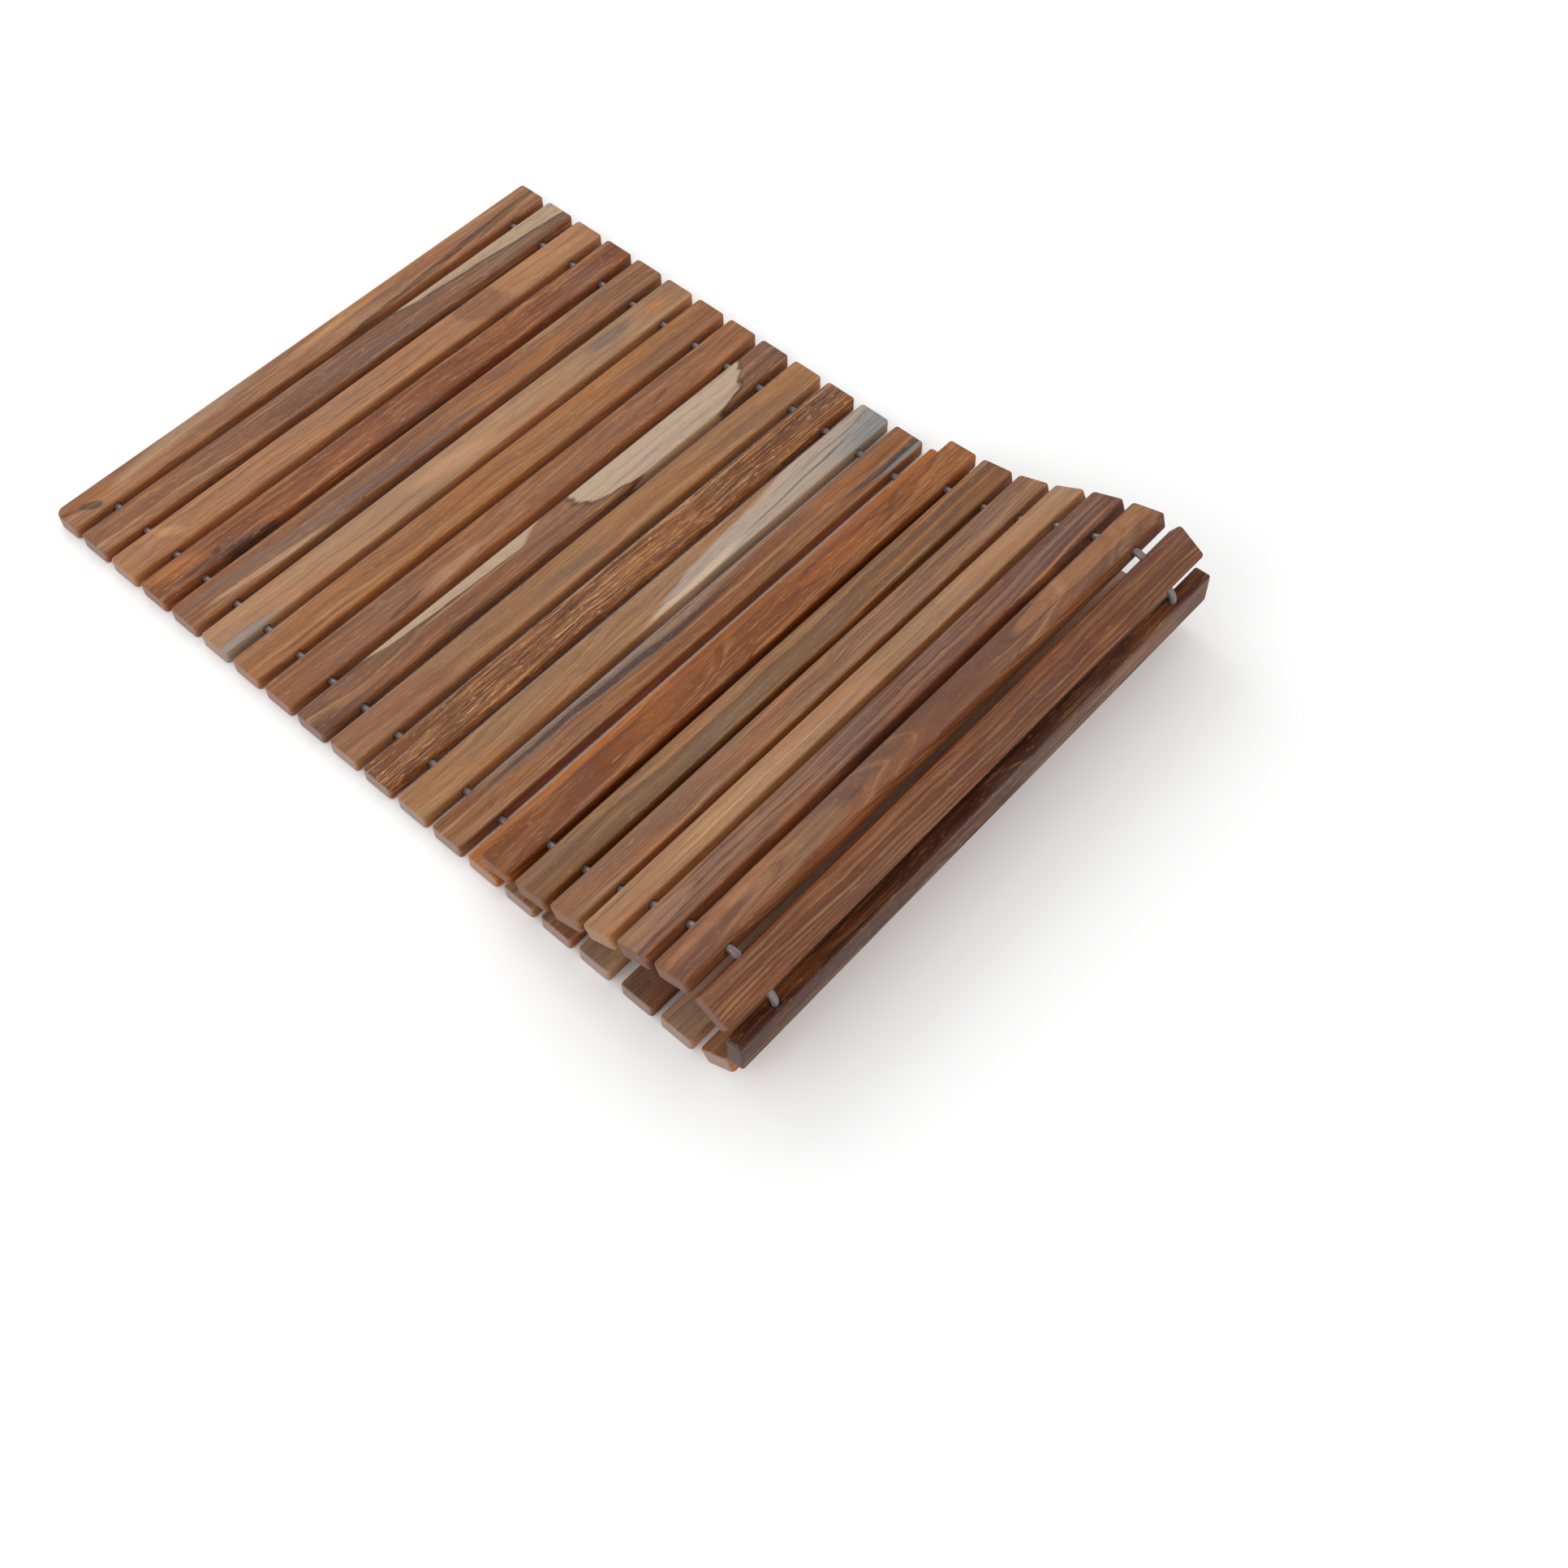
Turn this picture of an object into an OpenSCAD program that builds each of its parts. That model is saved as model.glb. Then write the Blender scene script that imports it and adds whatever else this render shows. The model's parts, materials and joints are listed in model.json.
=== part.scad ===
// Roll-up slatted bath mat: teak slats threaded on two clear cords.
// It lies flat on the floor with its right-hand end folded back over itself.
// Slats and gaps are counted from the left: gap n lies between slat n and slat n + 1.

/* [Slats] */
// Length of every slat
slat_l = 506; // [400:1:700]
// Width of an inner slat
slat_w = 28.5; // [27:0.1:29.5]
// Width of the first and the last slat
end_slat_w = 26.5; // [25:0.1:27]
// Thickness of every slat
slat_t = 13; // [12:0.1:13.5]
// Distance from slat to slat along the cords
pitch = 36; // [35.8:0.1:38]
// Rounding of the long edges
edge_r = 1.5; // [1:0.1:3]
// Rounding of the upright corners at the slat ends
corner_r = 3; // [2:0.5:5]
// Rounding of the first slat's worn outer corner
worn_r = 8; // [3:0.5:10]

/* [Cords] */
// Diameter of the clear cord
cord_d = 6; // [5:0.1:6.2]
// Distance from a slat's end to the cord's centre line
cord_inset = 39; // [25:1:80]
// Radial clearance between a cord and its hole
hole_play = 0.05; // [0.02:0.01:0.1]
// Depth of the blind holes in the first and the last slat
end_hole_depth = 20; // [12:1:22]

/* [Fold] */
// Bend at each gap from slat 19 to slat 28, in degrees, as the fold lies at rest
fold_bend = [35, 57, 57, 48, 6, 6, -8, -10, -8];
// Gaps that the pulled cords hold wider open, each as [gap, extra width]
wide_gaps = [[17, 4], [19, 5], [20, 6], [21, 5], [22, 2]];

/* [Hidden] */
slat_count = 28;
fold_start = 19;
// every round face is an exact circle, so this number only sets the preview
$fn = 48;
cord_y = slat_l / 2 - cord_inset;
hole_d = cord_d + 2 * hole_play;
// A bent cord's round tips stay clear of each other up to a bend of 60 degrees
tip_setback = cord_d / 2 + 0.6;
end_inset = slat_w - end_slat_w;

// Colour of each slat's upper face when the mat lies flat
teak = [
    "#997459", "#8e6a51", "#a47653", "#89583b", "#90684e", "#a68164", "#9b6d4a",
    "#92674d", "#9a7a63", "#997052", "#8a5f42", "#a1846c", "#896348", "#9f7550",
    "#96704f", "#8c5d3f", "#7d5f49", "#5f4030", "#8a6b50", "#7b5335", "#64493e",
    "#774f39", "#855d47", "#805c4a", "#a47b5c", "#8c664e", "#836045", "#81502e"
];

function two_digits(n) = str(n < 10 ? "0" : "", n);
function slat_name(n) = str("slat_", two_digits(n));
function cord_name(n) = str("cord_pair_", two_digits(n));

// Bend and half pitch at a gap
function bend(gap) =
    let (i = gap - fold_start)
    i >= 0 && i < len(fold_bend) ? fold_bend[i] : 0;
function extra(gap) =
    let (found = [for (g = wide_gaps) if (g[0] == gap) g[1]])
    len(found) > 0 ? found[0] : 0;
function half_step(gap) = (pitch + extra(gap)) / 2;

// Tilt of a slat, and the centre of its cross-section with slat 1 at x = 0
function tilt(n) = n <= 1 ? 0 : tilt(n - 1) + bend(n - 1);
function centre(n) =
    n <= 1 ? [0, slat_t / 2] :
    let (
        before = centre(n - 1),
        a = tilt(n - 1),
        b = tilt(n),
        h = half_step(n - 1)
    )
    before + h * [cos(a) + cos(b), sin(a) + sin(b)];

// The origin lies on the floor under the middle of the folded mat
function right_edge(n) =
    centre(n)[0] + edge_r
    + abs(cos(tilt(n))) * (slat_w / 2 - edge_r)
    + abs(sin(tilt(n))) * (slat_t / 2 - edge_r);
left_end = end_inset - slat_w / 2;
right_end = max([for (n = [fold_start : slat_count]) right_edge(n)]);
middle_x = (left_end + right_end) / 2;

// Puts a slat-centred shape where slat n lies at rest
module place(n) {
    c = centre(n);
    translate([c[0] - middle_x, 0, c[1]])
        rotate([0, -tilt(n), 0])
            children();
}

// Rectangle centred on the origin, with its own radius for the near left corner
module rounded_rect(w, l, r, near_left_r) {
    corners = [[-1, -1, near_left_r], [1, -1, r], [1, 1, r], [-1, 1, r]];
    difference() {
        square([w, l], center = true);
        for (c = corners)
            translate([c[0] * w / 2, c[1] * l / 2])
                square(2 * c[2], center = true);
    }
    for (c = corners)
        translate([c[0] * (w / 2 - c[2]), c[1] * (l / 2 - c[2])])
            circle(c[2]);
}

// A slat's timber: rounded in cross-section and in plan
module plank(w, near_left_r) {
    intersection() {
        rotate([90, 0, 0])
            linear_extrude(slat_l, center = true)
                rounded_rect(w, slat_t, edge_r, edge_r);
        linear_extrude(slat_t + 2, center = true)
            rounded_rect(w, slat_l, corner_r, near_left_r);
    }
}

// A hole or a cord along the mat, from x = a to x = b
module rod_along(a, b, d) {
    translate([a, 0, 0])
        rotate([0, 90, 0])
            cylinder(h = b - a, d = d);
}

// Both ends of what runs in a slat's two holes
module at_both_cords() {
    for (side = [-1, 1])
        translate([0, side * cord_y, 0])
            children();
}

module slat(n) {
    first = n == 1;
    last = n == slat_count;
    w = first || last ? end_slat_w : slat_w;
    shift = first ? end_inset / 2 : last ? -end_inset / 2 : 0;
    a = first ? slat_w / 2 - end_hole_depth : -slat_w;
    b = last ? end_hole_depth - slat_w / 2 : slat_w;
    color(teak[n - 1])
        place(n)
            difference() {
                translate([shift, 0, 0])
                    plank(w, first ? worn_r : corner_r);
                at_both_cords()
                    rod_along(a, b, hole_d);
            }
}

// The stretch of both cords that slat n grips, as far as the middle of each gap beside it
module cord_pair(n) {
    first = n == 1;
    last = n == slat_count;
    a = first ? slat_w / 2 - end_hole_depth : tip_setback - half_step(n - 1);
    b = last ? end_hole_depth - slat_w / 2 : half_step(n) - tip_setback;
    color("gainsboro", 0.6)
        place(n)
            at_both_cords() {
                rod_along(a, b, cord_d);
                if (!first)
                    translate([a, 0, 0])
                        sphere(d = cord_d);
                if (!last)
                    translate([b, 0, 0])
                        sphere(d = cord_d);
            }
}

for (n = [1 : slat_count])
    slat(n);

for (n = [1 : slat_count])
    cord_pair(n);
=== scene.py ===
"""Roll-up teak bath mat: slats, clear cords and a plain studio, built around the mat's own frame."""

import json
import math
from functools import partial
from typing import NamedTuple

import bmesh
import bpy
from bpy.props import FloatProperty, FloatVectorProperty, PointerProperty
from mathutils import Matrix, Vector


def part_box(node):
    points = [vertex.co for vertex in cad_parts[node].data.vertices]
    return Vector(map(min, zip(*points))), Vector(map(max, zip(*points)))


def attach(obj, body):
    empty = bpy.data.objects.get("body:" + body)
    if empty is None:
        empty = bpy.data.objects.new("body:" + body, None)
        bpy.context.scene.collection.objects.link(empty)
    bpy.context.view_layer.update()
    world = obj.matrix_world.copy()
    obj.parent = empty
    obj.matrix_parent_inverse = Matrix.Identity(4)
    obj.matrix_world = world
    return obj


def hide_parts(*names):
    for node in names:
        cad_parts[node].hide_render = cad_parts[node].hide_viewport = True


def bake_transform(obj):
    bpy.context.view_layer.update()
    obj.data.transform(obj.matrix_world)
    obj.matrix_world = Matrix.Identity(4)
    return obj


bl_info = {
    "name": "Slatted bath mat",
    "version": (1, 0, 0),
    "blender": (4, 5, 0),
    "location": "View3D > Sidebar > Bath mat",
    "description": "Teak slats on two clear cords, folded over at one end",
    "category": "Object",
}

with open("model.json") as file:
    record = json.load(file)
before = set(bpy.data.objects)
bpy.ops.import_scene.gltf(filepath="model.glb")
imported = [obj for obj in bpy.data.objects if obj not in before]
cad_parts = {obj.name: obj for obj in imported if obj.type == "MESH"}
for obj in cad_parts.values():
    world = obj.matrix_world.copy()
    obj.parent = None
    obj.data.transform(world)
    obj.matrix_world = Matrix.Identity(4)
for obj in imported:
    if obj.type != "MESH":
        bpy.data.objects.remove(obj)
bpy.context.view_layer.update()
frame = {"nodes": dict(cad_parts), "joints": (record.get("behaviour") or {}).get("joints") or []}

MM = 0.001
SLATS = sum(name.startswith("slat_") for name in frame["nodes"])
# the hinge line after each slat, by the slat's number
HINGES = {int(joint["name"][-2:]): Vector(joint["pos_m"]) for joint in frame["joints"]}


def slat_name(n):
    return f"slat_{n:02d}"


def body_name(n):
    return f"link_{n:02d}"


def from_hex(code):
    """An sRGB hex colour as linear red, green and blue."""
    parts = [int(code[i : i + 2], 16) / 255 for i in (1, 3, 5)]
    return [c / 12.92 if c <= 0.04045 else ((c + 0.055) / 1.055) ** 2.4 for c in parts]


def blended(a, b, share):
    """Colour a with a share of colour b in it."""
    return [x + (y - x) * share for x, y in zip(a, b)]


# ---------------------------------------------------------------------------
# What each slat's timber looks like
# ---------------------------------------------------------------------------
# the darkest and the palest wood, which every tone is mixed with
TAR = "#3c2417"
STRAW = "#d6a873"


class Timber(NamedTuple):
    """How the timber of one slat looks."""

    tone: str  # overall colour
    pith: tuple = (70, 10)  # where the tree's centre lay from the slat's, across and up, in mm
    lean: tuple = (6, 8)  # how far the grain runs off line, across and up, in mm over 1 m
    ring: float = 5.0  # width of a growth ring in mm
    figure: tuple = (0.25, 0.6, 0.6)  # strength of the rings, of broad bands and of fine fibres
    # patches, the lowest first: colour, strength, middle across and along, half width, half length,
    # turn in degrees, and softness of the outline from 0 to 1
    marks: tuple = ()
    greyed: float = 0.75  # how grey the sawn ends have gone, from 0 to 1


TIMBER = [
    Timber("#825539", (60, 20), (-30, 10), 6, (0.5, 0.9, 0.6), (
        ("#a58668", 0.6, -6, -130, 8, 110, -3, 0.6),
        ("#8a4f20", 0.7, -4, -228, 12, 34, 0, 0.6),
        ("#56301a", 0.75, -1, -243, 2.5, 16, 12, 0.4),
        ("#3a1c10", 0.95, 3, -230, 5, 11, 25, 0.3),
        ("#a5723a", 0.6, -6, 60, 6, 100, -3, 0.6),
        ("#4b2812", 0.9, 5, 140, 2.8, 130, -4.6, 0.3),
        ("#4b2812", 0.8, 2, 225, 3, 60, -6, 0.4),
    ), greyed=0.5),
    Timber("#724a33", (50, -30), (40, 6), 5, (0.3, 0.6, 0.7), (
        ("#8a5430", 0.6, -2, -218, 12, 50, 0, 0.7),
        ("#45372d", 0.85, -20.7, 180, 22, 420, 5.8, 0.08),
        ("#ad9377", 0.9, -20.7, 180, 20, 400, 5.8, 0.08),
    ), greyed=0.5),
    Timber("#9b6a46", (-80, 10), (4, 4), 7, (0.2, 0.6, 0.6), (
        ("#8d5534", 0.6, 8, -225, 8, 34, 0, 0.6),
        ("#7c4f36", 0.8, -1, 124, 19, 31, 22, 0.3),
        ("#bd8a5a", 0.5, 0, -205, 6, 16, 30, 0.6),
    ), greyed=0.5),
    Timber("#743c1c", (65, -40), (8, 10), 4, (0.3, 0.5, 0.8), (
        ("#a05f29", 0.7, -4, -225, 11, 36, 8, 0.6),
        ("#401d12", 0.85, 10, -200, 4, 44, 2, 0.5),
        ("#4d2416", 0.85, 5, -193, 3, 7, 0, 0.5),
        ("#2f1b17", 0.85, 13.5, -150, 2, 60, 0, 0.5),
    ), greyed=0.5),
    Timber("#784d31", (60, 15), (14, 6), 6, (0.3, 0.8, 0.6), (
        ("#75594a", 0.7, -2, -160, 8, 120, 3, 0.5),
        ("#b3906f", 0.7, 9, -175, 4, 74, 3, 0.5),
        ("#644a42", 0.75, 6, -40, 7, 100, 2, 0.4),
        ("#995a28", 0.75, 4, 95, 6, 70, 0, 0.5),
        ("#6a5044", 0.65, -9, 190, 4, 64, 3, 0.5),
        (TAR, 0.8, 12, -83, 1.5, 3, 0, 0.5),
    ), greyed=0.5),
    Timber("#987253", (-70, 20), (16, 8), 7, (0.3, 0.5, 0.5), (
        ("#875f43", 0.7, 0, 240, 16, 60, 0, 0.6),
        ("#66544d", 0.75, -3, 170, 9, 38, 0, 0.6),
        ("#a8683b", 0.7, 2, 220, 7, 15, 0, 0.6),
        ("#ba8c68", 0.5, 2, -10, 8, 60, 4, 0.6),
        ("#848888", 0.7, 13, -240, 6, 58, -1.5, 0.7),
    ), greyed=0.5),
    Timber("#8f5c33", (90, 5), (3, 4), 4, (0.25, 0.5, 0.6), (
        ("#5f3d29", 0.6, 10, -190, 1.5, 60, 0, 0.6),
    ), greyed=0.5),
    Timber("#855434", (20, -46), (14, 16), 7, (0.35, 0.6, 0.6), (
        ("#a37c5c", 0.7, 6, -85, 7, 46, -4, 0.6),
        ("#592b17", 0.75, 6, -133, 3, 22, -8, 0.4),
        ("#683820", 0.7, 3, 150, 3, 12, -14, 0.4),
        ("#6a422c", 0.6, -10, 190, 3, 60, 2, 0.6),
    ), greyed=0.5),
    Timber("#6e4935", (30, -34), (26, 14), 8, (0.5, 0.7, 0.6), (
        ("#573925", 0.8, -20, -60, 17, 155, 0, 0.08),
        ("#b0977f", 0.9, -20, -60, 15.5, 150, 0, 0.08),
        ("#7a5138", 0.95, 0, 4, 17, 44, 0, 0.15),
        ("#523522", 0.85, -12, 121, 31.5, 107, 0, 0.04),
        ("#b29b85", 0.92, -12, 121, 30, 103, 0, 0.05),
    ), greyed=0.5),
    Timber("#8f6541", (-75, 12), (5, 6), 6, (0.25, 0.6, 0.5), (
        ("#7c4f38", 0.7, 0, -215, 20, 92, 4, 0.4),
        ("#745a45", 0.6, 2, -15, 8, 32, 0, 0.6),
    )),
    Timber("#703f1e", (85, 0), (6, 4), 3.5, (0.9, 0.6, 1.6)),
    Timber("#926a47", (40, -50), (-60, 12), 6, (0.4, 0.6, 0.5), (
        ("#a8998b", 0.85, 15, 253, 30, 275, 0, 0.08),
        ("#cbb095", 0.7, 11, 25, 4, 76, -4, 0.5),
        ("#7a8082", 0.8, 6, 262, 20, 105, 0, 0.7),
        ("#4a4442", 0.7, 2, 160, 1.2, 90, -3, 0.5),
        ("#4a4442", 0.5, -5, 215, 1, 60, -2, 0.5),
    )),
    Timber("#7f5031", (55, 30), (16, 8), 5, (0.35, 0.7, 0.6), (
        ("#86796c", 0.6, -12, -70, 4, 170, 0, 0.5),
        ("#46373a", 0.85, -6, -95, 5, 170, 0, 0.4),
        ("#985c28", 0.6, -4, 175, 7, 70, -2, 0.5),
        ("#3b3335", 0.9, 8, 222, 4, 66, 2, 0.4),
        ("#7c8083", 0.8, 12.5, 238, 3, 46, 2, 0.5),
    )),
    Timber("#ad6428", (60, 20), (-14, 40), 6, (0.4, 0.6, 0.6), (
        ("#743d1c", 0.6, 4, 130, 9, 62, -2, 0.12),
        ("#9f5c2a", 0.8, 4, 130, 8, 57, -2, 0.2),
        ("#7d4424", 0.5, -3, 50, 6, 50, -4, 0.3),
    )),
    Timber("#946e4d", (-60, 20), (10, 10), 6),
    Timber("#8a5b3e", (70, -20), (10, 10), 5),
    Timber("#997860", (-50, 30), (10, 10), 5, (0.3, 0.6, 0.6), (
        ("#b58a5e", 0.6, 8, -232, 6, 16, 0, 0.6),
    )),
    Timber("#684637", (60, 10), (6, 6), 4),
    Timber("#977660", (60, 30), (10, 6), 5, (0.25, 0.3, 0.5)),
    Timber("#835537", (-60, 20), (10, 10), 5),
    Timber("#3a180c", (-60, 12), (6, 8), 5, (0.2, 0.5, 0.6), (
        ("#5c3d33", 0.6, 0, 150, 20, 150, 0, 0.6),
    ), greyed=0.15),
    Timber("#643822", (70, 16), (-14, 6), 3.5, (0.5, 0.5, 0.35), greyed=0.15),
    Timber("#683f29", (4, 30), (12, 70), 6, (0.35, 0.5, 0.35), (
        ("#97623f", 0.6, 6, -200, 6, 76, 2, 0.5),
        ("#54362a", 0.7, -4, -110, 3, 60, 6, 0.4),
        ("#53342a", 0.75, 4, 205, 11.5, 128, 0, 0.08),
        ("#8c5b38", 0.85, 4, 205, 10, 122, 0, 0.15),
    ), greyed=0.15),
    Timber("#5b3224", (50, 26), (18, 10), 6, (0.45, 0.8, 0.4), (
        ("#4f3028", 0.7, 1, -262, 13, 84, 0, 0.08),
        ("#7f5542", 0.8, 1, -262, 11.5, 78, 0, 0.15),
        ("#93674a", 0.5, 3, -120, 3, 70, -2, 0.5),
        ("#4f362f", 0.7, -3, 195, 6, 64, 2, 0.5),
        ("#925c36", 0.7, -11, 200, 2, 66, 2, 0.5),
    ), greyed=0.15),
    Timber("#946c4b", (-80, 8), (6, 4), 6, (0.2, 0.6, 0.6), (
        ("#bd9168", 0.6, -4, -100, 1.4, 140, 0.5, 0.5),
    ), greyed=0.15),
    Timber("#7a5136", (30, 34), (-22, 30), 7, (0.5, 0.6, 0.5), (
        ("#563a2d", 0.7, 2, 165, 1.3, 76, -5, 0.4),
        ("#654535", 0.6, 0, -20, 1.6, 64, -6, 0.5),
    ), greyed=0.15),
    Timber("#6e4829", (60, 14), (6, 8), 6, (0.3, 0.8, 0.5), (
        ("#6f5b40", 0.5, -4, -70, 10, 260, 0, 0.8),
        ("#9a6234", 0.7, -3, 165, 2.5, 105, 1, 0.5),
    ), greyed=0.15),
    Timber("#753c13", (10, 28), (10, 40), 6, (0.5, 0.5, 0.6), (
        ("#5f2f14", 0.6, 2, 112, 9, 60, -2, 0.12),
        ("#92501f", 0.7, 2, 112, 8, 55, -2, 0.2),
    ), greyed=0.15),
]


# ---------------------------------------------------------------------------
# Sizes and colours
# ---------------------------------------------------------------------------
def length_property(name, text, value_mm):
    return FloatProperty(
        name=name, description=text, default=value_mm * MM, unit="LENGTH", precision=4
    )


def colour_property(name, text, code):
    return FloatVectorProperty(
        name=name,
        description=text,
        default=from_hex(code),
        subtype="COLOR",
        min=0,
        max=1,
    )


class MatSizes(bpy.types.PropertyGroup):
    """Sizes of the slats' rounding and of the cords."""

    edge_round: length_property("Edge rounding", "Radius of the long edges", 1.5)
    corner_round: length_property("Corner rounding", "Radius of the slats' corners", 3)
    worn_round: length_property("Worn corner", "Radius of the first slat's worn corner", 8)
    hole_diameter: length_property("Hole", "Diameter of the cross holes", 7)
    rim_round: length_property("Hole rim", "Softening of a hole's rim", 0.5)
    cord_diameter: length_property("Cord", "Diameter of the clear cord", 6)
    cord_inset: length_property("Cord inset", "Slat end to the cord's middle", 39)
    blind_depth: length_property("Blind hole", "Depth of the holes in the end slats", 20)


class MatColours(bpy.types.PropertyGroup):
    """Colours of the timber, the cords and the floor."""

    # written as a dictionary, because each slat's colour comes from the table of timber
    __annotations__ = {
        "end_grain": colour_property("End grain", "Bare ends of the slats", "#93847f"),
        "cord": colour_property("Cord", "Clear cord", "#8f8180"),
        "floor": colour_property("Floor", "Studio floor", "#fafafa"),
        **{
            slat_name(n): colour_property(f"Slat {n}", "Timber's colour", row.tone)
            for n, row in enumerate(TIMBER, 1)
        },
    }


# ---------------------------------------------------------------------------
# Where the slats lie
# ---------------------------------------------------------------------------
def slat_centre(n):
    low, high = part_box(slat_name(n))
    return (low + high) / 2


def slat_tilt(n):
    """How far slat n is turned up about Y, from the hinge before it to the one after."""
    centre = slat_centre(n)
    along = HINGES.get(n, centre) - HINGES.get(n - 1, centre)
    return math.atan2(along.z, along.x)


def slat_place(n):
    """Matrix that puts a slat modelled flat at the origin where slat n lies."""
    return Matrix.Translation(slat_centre(n)) @ Matrix.Rotation(-slat_tilt(n), 4, "Y")


def slat_size(n):
    """Width, length and thickness. The last slat is like the first, the others like the second."""
    low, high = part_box(slat_name(1 if n in (1, SLATS) else 2))
    return high - low


# ---------------------------------------------------------------------------
# Modelling
# ---------------------------------------------------------------------------
NEAR = 0.1 * MM  # two places closer than this count as one
OVERRUN = 2 * MM  # how far a drill passes through
CORD_PLAY = 0.5 * MM  # at least this much room is left past a cord's end in its blind hole
EASE = 0.6  # how far along a cord's straight stretch its one extra point lies, towards the bend


def deselect_all():
    if bpy.context.mode != "OBJECT":
        bpy.ops.object.mode_set(mode="OBJECT")
    bpy.ops.object.select_all(action="DESELECT")


def select_only(piece):
    deselect_all()
    piece.select_set(True)
    bpy.context.view_layer.objects.active = piece


def bevel_edges(piece, chosen, width, segments):
    """Bevels the edges whose two ends are both where chosen says."""
    select_only(piece)
    bpy.ops.object.mode_set(mode="EDIT")
    bpy.ops.mesh.select_mode(type="EDGE")
    bpy.ops.mesh.select_all(action="DESELECT")
    mesh = bmesh.from_edit_mesh(piece.data)
    for edge in mesh.edges:
        edge.select_set(chosen(edge.verts[0].co, edge.verts[1].co))
    bmesh.update_edit_mesh(piece.data)
    bpy.ops.mesh.bevel(offset=width, segments=segments, affect="EDGES")
    bpy.ops.object.mode_set(mode="OBJECT")


def apply_modifier(piece, kind, **settings):
    select_only(piece)
    modifier = piece.modifiers.new(kind.title(), kind)
    for name, value in settings.items():
        setattr(modifier, name, value)
    bpy.ops.object.modifier_apply(modifier=modifier.name)


def drill(piece, start, end, y, diameter):
    """Cuts a round hole along X from start to end."""
    deselect_all()
    bpy.ops.mesh.primitive_cylinder_add(
        vertices=24,
        radius=diameter / 2,
        depth=end - start,
        location=((start + end) / 2, y, 0),
        rotation=(0, math.pi / 2, 0),
    )
    bit = bpy.context.object
    apply_modifier(piece, "BOOLEAN", operation="DIFFERENCE", object=bit, solver="EXACT")
    bpy.data.objects.remove(bit)


def model_slat(name, size, sizes, worn=False, blind_side=0):
    """A slat, flat and centred at the origin. blind_side is -1 or 1 where its holes stop short."""
    width, length, thickness = size
    deselect_all()
    bpy.ops.mesh.primitive_cube_add(size=1, location=(0, 0, 0))
    piece = bpy.context.object
    piece.name = piece.data.name = name
    piece.scale = (width, length, thickness)
    bpy.ops.object.transform_apply(scale=True)

    def upright(a, b):
        return abs(a.z - b.z) > NEAR

    def worn_corner(a, b):
        return worn and upright(a, b) and a.x < 0 and a.y < 0

    def square_corner(a, b):
        at_corner = abs(a.x) > width / 2 - NEAR and abs(a.y) > length / 2 - NEAR
        return upright(a, b) and at_corner and not worn_corner(a, b)

    def face_rim(a, b):
        return abs(a.z - b.z) < NEAR

    bevel_edges(piece, worn_corner, sizes.worn_round, segments=8)
    bevel_edges(piece, square_corner, sizes.corner_round, segments=5)
    bevel_edges(piece, face_rim, sizes.edge_round, segments=4)

    start = -width / 2 - OVERRUN
    end = width / 2 + OVERRUN
    if blind_side < 0:
        start = width / 2 - sizes.blind_depth
    if blind_side > 0:
        end = sizes.blind_depth - width / 2
    row = length / 2 - sizes.cord_inset
    for y in (-row, row):
        drill(piece, start, end, y, sizes.hole_diameter)
    reach = sizes.hole_diameter / 2 + NEAR

    def hole_rim(a, b):
        return all(
            abs(abs(v.x) - width / 2) < NEAR and math.hypot(abs(v.y) - row, v.z) < reach
            for v in (a, b)
        )

    bevel_edges(piece, hole_rim, sizes.rim_round, segments=2)
    select_only(piece)
    bpy.ops.object.shade_smooth_by_angle(angle=math.radians(35))
    apply_modifier(piece, "WEIGHTED_NORMAL", keep_sharp=True, weight=80)
    return piece


def placed_copy(pattern, name, place):
    """A copy of a modelled piece, with its own mesh, put in its place."""
    piece = pattern.copy()
    piece.data = pattern.data.copy()
    piece.name = piece.data.name = name
    piece.data.transform(place)
    bpy.context.scene.collection.objects.link(piece)
    return piece


def bent_path(start, bend_start, pivot, bend_end, end, steps=10):
    """Straight to bend_start, round to bend_end with both straights as tangents, straight to end."""
    path = [start, start.lerp(bend_start, EASE)]
    for i in range(steps + 1):
        t = i / steps
        path.append(bend_start.lerp(pivot, t).lerp(pivot.lerp(bend_end, t), t))
    return path + [end.lerp(bend_end, EASE), end]


def model_cord_pair(name, path, row, diameter):
    """Both cords along one gap's path, as one mesh."""
    curve = bpy.data.curves.new(name, "CURVE")
    curve.dimensions = "3D"
    curve.bevel_depth = diameter / 2
    curve.bevel_resolution = 5
    curve.use_fill_caps = True
    for y in (-row, row):
        spline = curve.splines.new("POLY")
        spline.points.add(len(path) - 1)
        for point, place in zip(spline.points, path):
            point.co = (place.x, y, place.z, 1)
    piece = bpy.data.objects.new(name, curve)
    bpy.context.scene.collection.objects.link(piece)
    select_only(piece)
    bpy.ops.object.convert(target="MESH")
    piece = bpy.context.object
    bpy.ops.object.shade_smooth_by_angle(angle=math.radians(50))
    return piece


# ---------------------------------------------------------------------------
# Materials
# ---------------------------------------------------------------------------
MATH = "ShaderNodeMath"
VECTOR_MATH = "ShaderNodeVectorMath"
MAPPING = "ShaderNodeMapping"
NOISE = "ShaderNodeTexNoise"
REMAP = "ShaderNodeMapRange"
RAMP = "ShaderNodeValToRGB"
MIX = "ShaderNodeMix"
FACTOR, FIRST, SECOND, RESULT = 0, 6, 7, 2  # sockets of a colour mix


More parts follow.
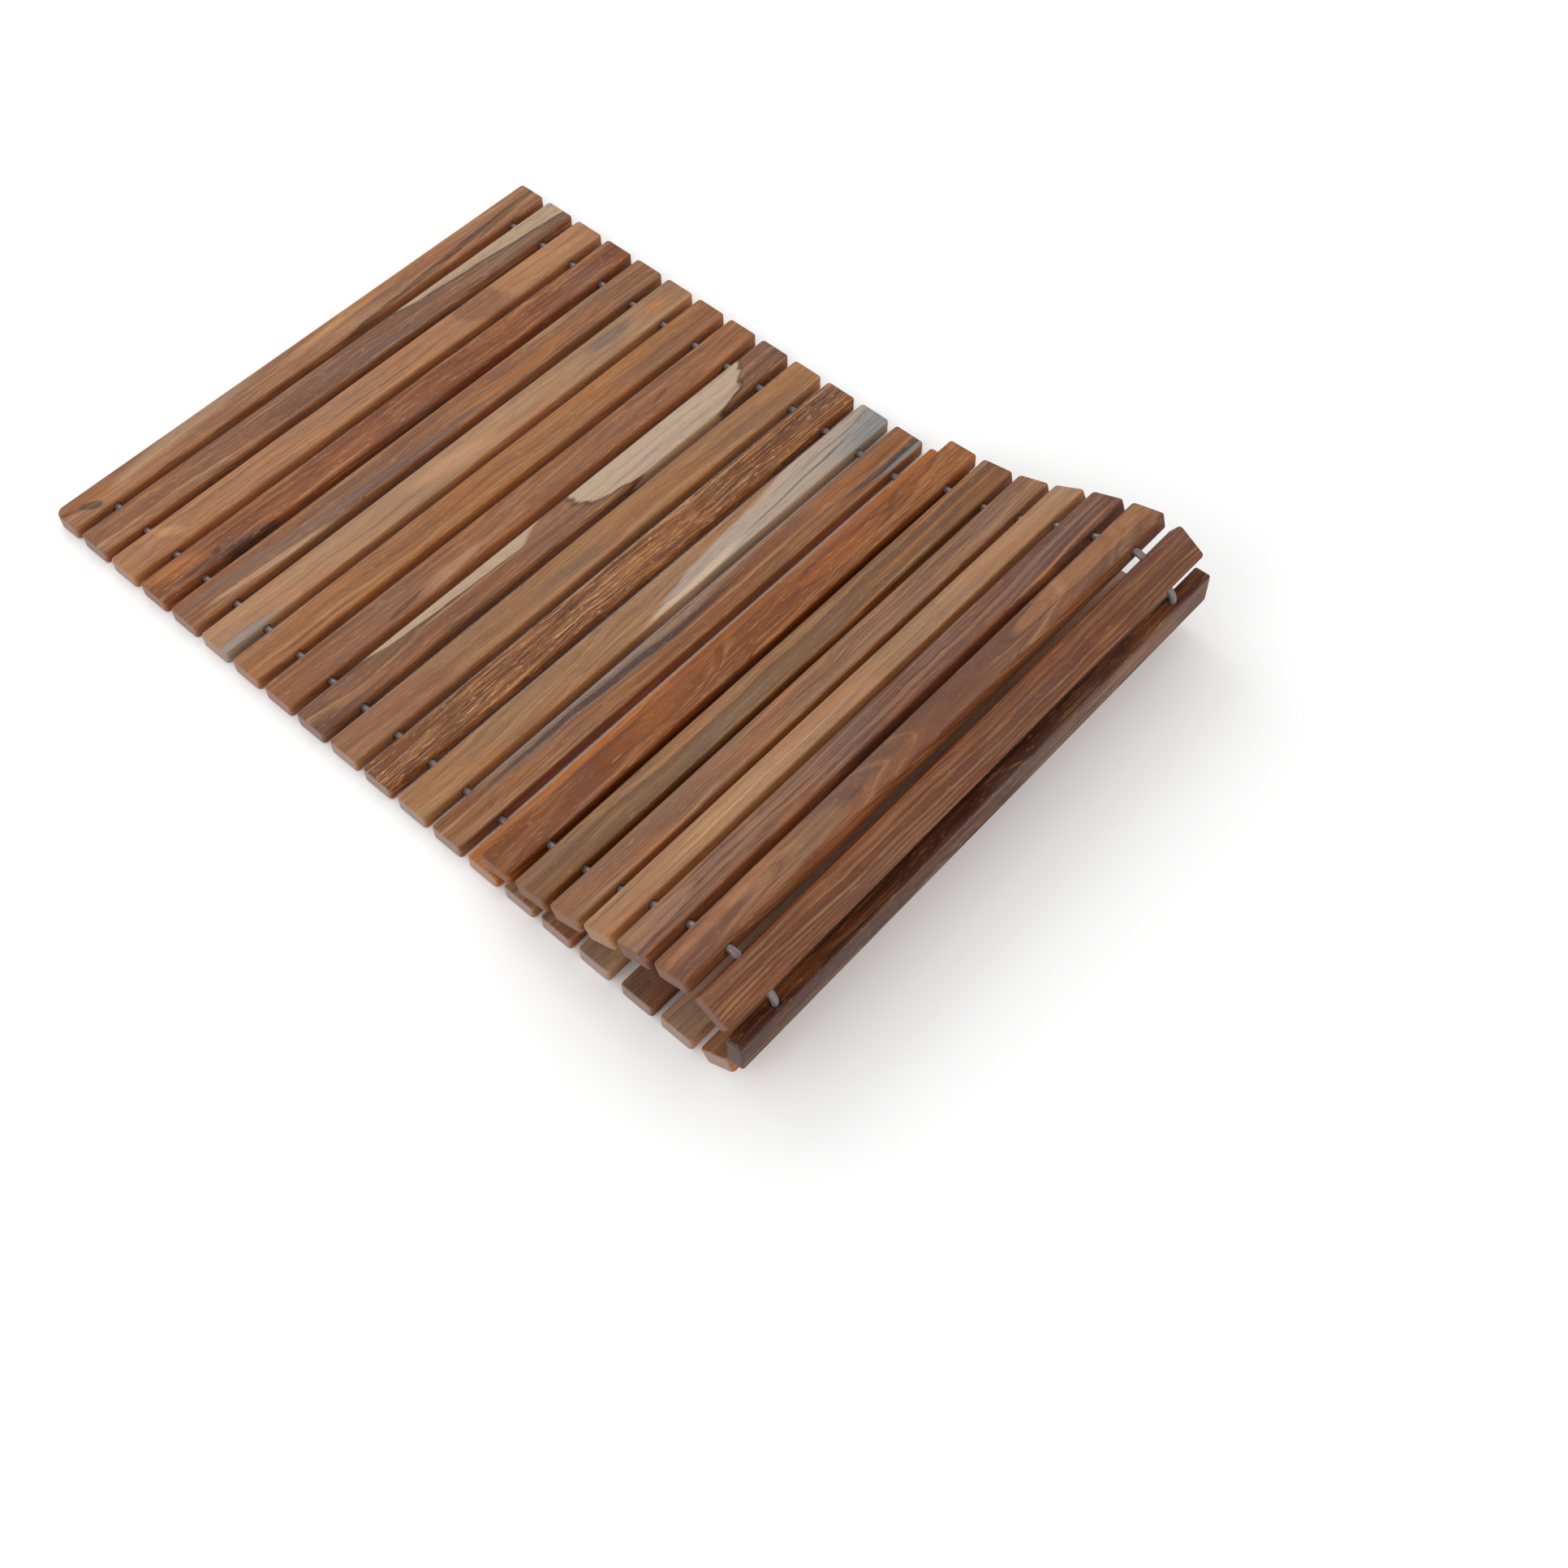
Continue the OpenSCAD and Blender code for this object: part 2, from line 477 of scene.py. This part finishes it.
def add_node(tree, kind, inputs=(), output=0, **settings):
    """Adds a node with its settings, and gives back one of its outputs. Its inputs are values or
    other nodes' outputs, in order or by socket."""
    node = tree.nodes.new(kind)
    for name, value in settings.items():
        setattr(node, name, value)
    pairs = inputs.items() if isinstance(inputs, dict) else enumerate(inputs)
    for socket, value in pairs:
        if isinstance(value, bpy.types.NodeSocket):
            tree.links.new(value, node.inputs[socket])
        else:
            node.inputs[socket].default_value = value
    return node.outputs[output]


def new_material(name):
    """An empty material, its tree and its shader."""
    material = bpy.data.materials.new(name)
    material.use_nodes = True
    tree = material.node_tree
    return material, tree, tree.nodes["Principled BSDF"]


def opaque(rgb):
    return (*rgb, 1)


def set_stops(ramp, stops):
    """Stops of a colour ramp, as (position, linear colour)."""
    elements = ramp.node.color_ramp.elements
    while len(elements) < len(stops):
        elements.new(0.5)
    for element, (position, rgb) in zip(elements, stops):
        element.position = position
        element.color = opaque(rgb)


# Size of each field of the grain, in mm across, along and up. Real fibres and pores are finer than
# 0.5 mm: they are drawn about three times as coarse, so that they show.
GRAIN = {
    "wander": (45, 150, 45),  # bends the grain lines
    "fray": (9, 50, 9),  # makes the marks' outlines ragged
    "patch": (34, 150, 34),  # broad light and dark
    "cast": (22, 110, 22),  # drifts of colour
    "coarse": (3.0, 240, 3.0),  # long streaks
    "fibre": (1.3, 75, 1.3),
    "pore": (1.2, 13, 1.2),
    "fleck": (1.4, 10, 1.4),
}
GRAIN_DETAIL = 2.5
GRAIN_ROUGHNESS = 0.55
WANDER = (15, 0, 15)  # how far the grain lines stray, in mm across, along and up
FRAY = (0.2, 0.3, 0)  # how ragged a mark's outline is, as a share of its size
MARK_DEPTH = 40  # half of a mark's depth in mm, so that it shows on both faces

SEED_STEP = 17.3  # keeps the patterns of two slats apart
FIELD_STEP = 5  # keeps the fields of one slat apart
RING_DRIFT = (11, 14)  # rings widen and narrow over this many mm, by this many mm
BAND_WIDTH = 9  # broad bands, in mm of growth
LINE_WIDTH = 1.5  # fine lines, in mm of growth
# shade across one ring, from 0 to 1: dark where a season ends
RING_GREYS = ((0, 0.1), (0.12, 0.45), (0.4, 0.85), (0.8, 0.75), (1, 0.1))

# how the shade from dark to light changes a tone: position, colour mixed in, and its share
TONE_STOPS = (
    (0.1, TAR, 0.8),
    (0.35, TAR, 0.35),
    (0.51, TAR, 0),
    (0.7, STRAW, 0.24),
    (0.95, STRAW, 0.6),
)
MARK_STOPS = ((0.15, TAR, 0.5), (0.51, TAR, 0), (0.95, STRAW, 0.4))

# slow drifts of colour: hex code, the field's values where it starts and is full, and its strength
DRIFTS = (("#a8632c", 0.52, 0.7, 0.3), ("#6b5850", 0.48, 0.3, 0.3))

GAP_BOUNCE_TINT = (1.1, 0.94, 0.74)  # linear: painted warm bounce light and shade on the long side faces, as light bouncing between the slats in the gaps would give
END_SHARE = 0.85  # how much of the sawn ends' own colour shows on them
FADE_FROM, FADE_TO = 1.1, 0.2  # mm inside a long side or end where its painted bounce tint or its end colour starts and is full


def wood_stops(tone, stops):
    """Ramp stops of a tone mixed with other colours."""
    return [(at, blended(tone, from_hex(code), share)) for at, code, share in stops]


def grain_fields(add, local, seed):
    """The slat's place bent along the grain, and all the fields of its grain by name."""
    fields = {}
    grain = local
    for index, (name, size) in enumerate(GRAIN.items()):
        shift = (seed + FIELD_STEP * index, 0.7 * seed, -seed)
        scaled = add(VECTOR_MATH, (grain, [1 / s for s in size], shift), operation="MULTIPLY_ADD")
        is_vector = name in ("wander", "fray")
        fields[name] = add(
            NOISE,
            {"Vector": scaled, "Scale": 1, "Detail": GRAIN_DETAIL, "Roughness": GRAIN_ROUGHNESS},
            output=1 if is_vector else 0,
        )
        if is_vector:
            from_middle = (fields[name], (0.5, 0.5, 0.5))
            fields[name] = add(VECTOR_MATH, from_middle, operation="SUBTRACT")
        if name == "wander":
            grain = add(VECTOR_MATH, (fields[name], WANDER, local), operation="MULTIPLY_ADD")
    return grain, fields


def growth(add, row, grain, seed):
    """Growth rings, broad bands and fine lines, each a value around 0.5, from the distance to the
    tree's centre."""
    lean_across, lean_up = row.lean
    pith = add(
        MAPPING,
        {
            "Vector": grain,
            "Location": (row.pith[0], 0, row.pith[1]),
            "Rotation": (math.atan(lean_up * MM), 0, -math.atan(lean_across * MM)),
        },
        vector_type="TEXTURE",
    )
    flattened = add(VECTOR_MATH, (pith, (1, 0, 1)), operation="MULTIPLY")
    radius = add(VECTOR_MATH, (flattened,), output=1, operation="LENGTH")
    drift_length, drift_mm = RING_DRIFT
    places = add(MATH, (radius, 1 / drift_length, seed), operation="MULTIPLY_ADD")
    uneven = add(NOISE, {"W": places, "Scale": 1, "Detail": 1}, noise_dimensions="1D")
    age = add(MATH, (uneven, drift_mm, radius), operation="MULTIPLY_ADD")
    rings = add(MATH, (age, row.ring), operation="DIVIDE")
    ring = add(RAMP, (add(MATH, (rings,), operation="FRACT"),))
    set_stops(ring, [(at, (grey, grey, grey)) for at, grey in RING_GREYS])
    years = add(MATH, (age, 1 / BAND_WIDTH, -seed), operation="MULTIPLY_ADD")
    band = add(NOISE, {"W": years, "Scale": 1, "Detail": 3}, noise_dimensions="1D")
    seasons = add(MATH, (age, 1 / LINE_WIDTH, seed), operation="MULTIPLY_ADD")
    line = add(NOISE, {"W": seasons, "Scale": 1, "Detail": 1}, noise_dimensions="1D")
    return ring, band, line


def teak_shade(add, row, grain, fields, seed):
    """The whole figure of the timber as one value from dark to light, around 0.5."""
    ring, band, line = growth(add, row, grain, seed)
    rings_share, bands_share, fibres_share = row.figure
    shade = 0.5
    for value, share in (
        (ring, 0.3 * rings_share),
        (line, 0.5 * rings_share + 0.1),
        (band, 0.7 * bands_share),
        (fields["patch"], 0.5 * bands_share),
        (fields["coarse"], 0.6 * fibres_share),
        (fields["fibre"], 1.0 * fibres_share),
    ):
        from_middle = add(MATH, (value, 0.5), operation="SUBTRACT")
        shade = add(MATH, (from_middle, share, shade), operation="MULTIPLY_ADD")
    return shade


def drift_layers(add, fields):
    """Slow drifts towards orange and towards a cool grey brown."""
    layers = []
    for code, low, high, strength in DRIFTS:
        limits = {"From Min": low, "From Max": high, "To Max": strength}
        drift = add(REMAP, {"Value": fields["cast"], **limits})
        layers.append((drift, opaque(from_hex(code)), "MIX"))
    return layers


def mark_layers(add, row, grain, fields, shade):
    """This slat's own sapwood, mineral stains, knots and heartwood."""
    layers = []
    for code, strength, across, along, width, length, turn, softness in row.marks:
        spot = add(
            MAPPING,
            {
                "Vector": grain,
                "Location": (across, along, 0),
                "Rotation": (0, 0, math.radians(-turn)),
                "Scale": (width, length, MARK_DEPTH),
            },
            vector_type="TEXTURE",
        )
        frayed = add(VECTOR_MATH, (fields["fray"], FRAY, spot), operation="MULTIPLY_ADD")
        inside = add("ShaderNodeTexGradient", (frayed,), output=1, gradient_type="SPHERICAL")
        mask = add(
            REMAP,
            {"Value": inside, "From Max": softness, "To Max": strength},
            interpolation_type="SMOOTHSTEP",
        )
        stain = add(RAMP, (shade,))
        set_stops(stain, wood_stops(from_hex(code), MARK_STOPS))
        layers.append((mask, stain, "MIX"))
    return layers


def speck_layers(add, row, pores, flecks):
    """Open pores, dark with oil, and pale flecks."""
    layers = []
    for field, strength, code in ((pores, 0.4, TAR), (flecks, 0.3, STRAW)):
        share = add(MATH, (field, strength * row.figure[2]), operation="MULTIPLY")
        layers.append((share, opaque(from_hex(code)), "MIX"))
    return layers


def side_bounce_and_end_layers(add, n, local, end_colour):
    """Painted warm bounce light and shade on the long side faces, and the sawn ends' own colour."""
    half_width, half_length, _ = slat_size(n) / 2 / MM
    split = add("ShaderNodeSeparateXYZ", (local,)).node.outputs
    layers = []
    for socket, limit, blend, strength, paint in (
        # the long sides: painted warm bounce light and shade of the gaps
        (split[0], half_width, "MULTIPLY", 1, GAP_BOUNCE_TINT),
        (split[1], half_length, "MIX", END_SHARE, end_colour),
    ):
        mask = add(
            REMAP,
            {
                "Value": add(MATH, (socket,), operation="ABSOLUTE"),
                "From Min": limit - FADE_FROM,
                "From Max": limit - FADE_TO,
                "To Max": strength,
            },
        )
        layers.append((mask, opaque(paint), blend))
    return layers


def oiled_teak(n, row, tone, end_grain):
    """Oiled teak, planed and lightly sanded: ring lines, bands and open pores along the slat, stains
    and sapwood where this slat has them, and a dull sheen. The pattern is a solid one in the slat's
    own millimetres, so faces, edges and ends agree."""
    material, tree, shader = new_material(f"oiled_teak_{n:02d}")
    add = partial(add_node, tree)
    place = slat_centre(n)
    seed = SEED_STEP * n
    local = add(
        MAPPING,
        {
            "Vector": add("ShaderNodeTexCoord", output="Object"),
            "Location": (place.x, 0, place.z),
            "Rotation": (0, -slat_tilt(n), 0),
            "Scale": (MM, MM, MM),
        },
        vector_type="TEXTURE",
    )
    grain, fields = grain_fields(add, local, seed)
    shade = teak_shade(add, row, grain, fields, seed)

    pores = add(REMAP, {"Value": fields["pore"], "From Min": 0.58, "From Max": 0.68})
    flecks = add(REMAP, {"Value": fields["fleck"], "From Min": 0.6, "From Max": 0.7})
    end_colour = blended(tone, end_grain, row.greyed)
    colour = add(RAMP, (shade,))
    set_stops(colour, wood_stops(tone, TONE_STOPS))
    for share, paint, blend in (
        *drift_layers(add, fields),
        *mark_layers(add, row, grain, fields, shade),
        *speck_layers(add, row, pores, flecks),
        # painted warm bounce light on the long sides, then the sawn ends' own colour
        *side_bounce_and_end_layers(add, n, local, end_colour),
    ):
        inputs = {FACTOR: share, FIRST: colour, SECOND: paint}
        colour = add(MIX, inputs, output=RESULT, data_type="RGBA", blend_type=blend)

    tree.links.new(colour, shader.inputs["Base Color"])
    shader.inputs["Specular IOR Level"].default_value = 0.25
    roughness = add(MATH, (fields["fibre"], 0.2, 0.45), operation="MULTIPLY_ADD")
    tree.links.new(roughness, shader.inputs["Roughness"])
    height = add(MATH, (pores, -0.8, fields["fibre"]), operation="MULTIPLY_ADD")
    relief = {"Strength": 0.3, "Distance": 0.25 * MM, "Height": height}
    tree.links.new(add("ShaderNodeBump", relief), shader.inputs["Normal"])
    return material


def clear_cord(colour):
    """Flexible clear PVC rod, extruded: glossy, tinted grey, a little scuffed where it runs."""
    material, tree, shader = new_material("clear_pvc_cord")
    add = partial(add_node, tree)
    shader.inputs["Base Color"].default_value = opaque(colour)
    shader.inputs["Transmission Weight"].default_value = 0.5
    shader.inputs["IOR"].default_value = 1.53
    position = add("ShaderNodeTexCoord", output="Object")
    scuffs = add(NOISE, {"Vector": position, "Scale": 1 / (5 * MM), "Detail": 1})
    roughness = add(REMAP, {"Value": scuffs, "To Min": 0.08, "To Max": 0.2})
    tree.links.new(roughness, shader.inputs["Roughness"])
    return material


def matt_floor(colour):
    """Seamless studio paper: matt, almost white, with a faint tooth."""
    material, tree, shader = new_material("studio_paper")
    add = partial(add_node, tree)
    shader.inputs["Base Color"].default_value = opaque(colour)
    shader.inputs["Roughness"].default_value = 0.9
    shader.inputs["Specular IOR Level"].default_value = 0.1
    position = add("ShaderNodeTexCoord", output="Object")
    tooth = add(NOISE, {"Vector": position, "Scale": 1 / (1.5 * MM), "Detail": 2})
    relief = {"Strength": 0.05, "Distance": 0.1 * MM, "Height": tooth}
    tree.links.new(add("ShaderNodeBump", relief), shader.inputs["Normal"])
    return material


def studio_air():
    """White walls all round: dim straight above, where no lamp hangs, and bright lower down."""
    world = bpy.data.worlds.new("studio_air")
    world.use_nodes = True
    tree = world.node_tree
    add = partial(add_node, tree)
    direction = add("ShaderNodeTexCoord", output="Generated")
    height = add("ShaderNodeSeparateXYZ", (direction,), output=2)
    levels = {"Value": height, "From Min": 0.6, "From Max": 1, "To Min": 1.15, "To Max": 0.3}
    background = tree.nodes["Background"]
    background.inputs["Color"].default_value = opaque((1, 1, 1))
    tree.links.new(add(REMAP, levels), background.inputs["Strength"])
    return world


# ---------------------------------------------------------------------------
# Operators
# ---------------------------------------------------------------------------
class BATHMAT_OT_slats(bpy.types.Operator):
    """Model the teak slats"""

    bl_idname = "bathmat.slats"
    bl_label = "Teak slats"
    bl_options = {"REGISTER", "UNDO"}

    def execute(self, context):
        sizes = context.scene.bath_mat_sizes
        colours = context.scene.bath_mat_colours
        end_size = slat_size(1)
        patterns = {
            1: model_slat("first_slat", end_size, sizes, worn=True, blind_side=-1),
            SLATS: model_slat("last_slat", end_size, sizes, blind_side=1),
        }
        inner = model_slat("inner_slat", slat_size(2), sizes)
        for n in range(1, SLATS + 1):
            piece = placed_copy(patterns.get(n, inner), f"teak_slat_{n:02d}", slat_place(n))
            tone = getattr(colours, slat_name(n))
            piece.data.materials.append(
                oiled_teak(n, TIMBER[n - 1], list(tone), list(colours.end_grain))
            )
            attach(piece, body_name(n))
            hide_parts(slat_name(n))
        for pattern in (*patterns.values(), inner):
            bpy.data.objects.remove(pattern)
        return {"FINISHED"}


class BATHMAT_OT_cords(bpy.types.Operator):
    """Model the two clear cords, gap by gap"""

    bl_idname = "bathmat.cords"
    bl_label = "Clear cords"
    bl_options = {"REGISTER", "UNDO"}

    def execute(self, context):
        sizes = context.scene.bath_mat_sizes
        material = clear_cord(list(context.scene.bath_mat_colours.cord))
        size = slat_size(2)
        row = size.y / 2 - sizes.cord_inset
        half = Vector((size.x / 2, 0, 0))
        hidden_end = Vector((size.x / 2 - sizes.blind_depth + CORD_PLAY, 0, 0))
        joint_gap = Vector((NEAR, 0, 0))
        for n, pivot in sorted(HINGES.items()):
            left, right = slat_place(n), slat_place(n + 1)
            start = hidden_end if n == 1 else joint_gap
            end = -hidden_end if n + 1 == SLATS else -joint_gap
            bend_start, bend_end = left @ half, right @ -half
            path = bent_path(left @ start, bend_start, pivot, bend_end, right @ end)
            piece = model_cord_pair(f"cords_gap_{n:02d}", path, row, sizes.cord_diameter)
            piece.data.materials.append(material)
            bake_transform(piece)
            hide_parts(f"cord_pair_{n:02d}")
            if n + 1 == SLATS:
                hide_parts(f"cord_pair_{SLATS:02d}")
        return {"FINISHED"}


# place in m, side in m and power in W
SOFTBOXES = {
    "key_softbox": ((-2.2, 0.4, 1.9), 2.0, 24),
    "fill_softbox": ((2.2, -0.4, 1.2), 1.8, 10),
    "front_softbox": ((-0.4, -2.0, 1.5), 1.8, 11),
}
CAMERA_PLACE = (0.7229, -0.6179, 1.1709)
CAMERA_AZIMUTH = math.radians(131.72)
CAMERA_ELEVATION = math.radians(-57.29)
SENSOR_MM = 36
LENS_MM = 44.69


def turn_to(item, direction):
    """Turns a lamp or the camera to look in a direction."""
    item.rotation_euler = direction.to_track_quat("-Z", "Y").to_euler()


class BATHMAT_OT_stage(bpy.types.Operator):
    """Lay the floor and set the lights and the camera"""

    bl_idname = "bathmat.stage"
    bl_label = "Floor, lights and camera"
    bl_options = {"REGISTER", "UNDO"}

    def execute(self, context):
        scene = context.scene
        deselect_all()
        bpy.ops.mesh.primitive_plane_add(size=40, location=(0, 0, 0))
        floor = context.object
        floor.name = "studio_floor"
        floor.data.materials.append(matt_floor(list(scene.bath_mat_colours.floor)))

        scene.world = studio_air()
        scene.view_settings.view_transform = "Standard"

        for name, (place, side, watts) in SOFTBOXES.items():
            light = bpy.data.lights.new(name, "AREA")
            light.shape = "SQUARE"
            light.size = side
            light.energy = watts
            lamp = bpy.data.objects.new(name, light)
            lamp.location = place
            turn_to(lamp, -Vector(place))
            scene.collection.objects.link(lamp)

        camera = bpy.data.cameras.new("camera")
        camera.sensor_width = SENSOR_MM
        camera.lens = LENS_MM
        view = bpy.data.objects.new("camera", camera)
        view.location = CAMERA_PLACE
        level = math.cos(CAMERA_ELEVATION)
        turn_to(
            view,
            Vector(
                (
                    level * math.cos(CAMERA_AZIMUTH),
                    level * math.sin(CAMERA_AZIMUTH),
                    math.sin(CAMERA_ELEVATION),
                )
            ),
        )
        scene.collection.objects.link(view)
        scene.camera = view
        return {"FINISHED"}


class BATHMAT_PT_panel(bpy.types.Panel):
    """Lists the steps that build the mat"""

    bl_label = "Bath mat"
    bl_idname = "BATHMAT_PT_panel"
    bl_space_type = "VIEW_3D"
    bl_region_type = "UI"
    bl_category = "Bath mat"

    def draw(self, context):
        for operator in (BATHMAT_OT_slats, BATHMAT_OT_cords, BATHMAT_OT_stage):
            self.layout.operator(operator.bl_idname)


CLASSES = (
    MatSizes,
    MatColours,
    BATHMAT_OT_slats,
    BATHMAT_OT_cords,
    BATHMAT_OT_stage,
    BATHMAT_PT_panel,
)


def register():
    for cls in CLASSES:
        bpy.utils.register_class(cls)
    bpy.types.Scene.bath_mat_sizes = PointerProperty(type=MatSizes)
    bpy.types.Scene.bath_mat_colours = PointerProperty(type=MatColours)


def unregister():
    del bpy.types.Scene.bath_mat_colours
    del bpy.types.Scene.bath_mat_sizes
    for cls in reversed(CLASSES):
        bpy.utils.unregister_class(cls)


def main():
    register()
    bpy.ops.bathmat.slats()
    bpy.ops.bathmat.cords()
    bpy.ops.bathmat.stage()


if __name__ == "__main__":
    main()
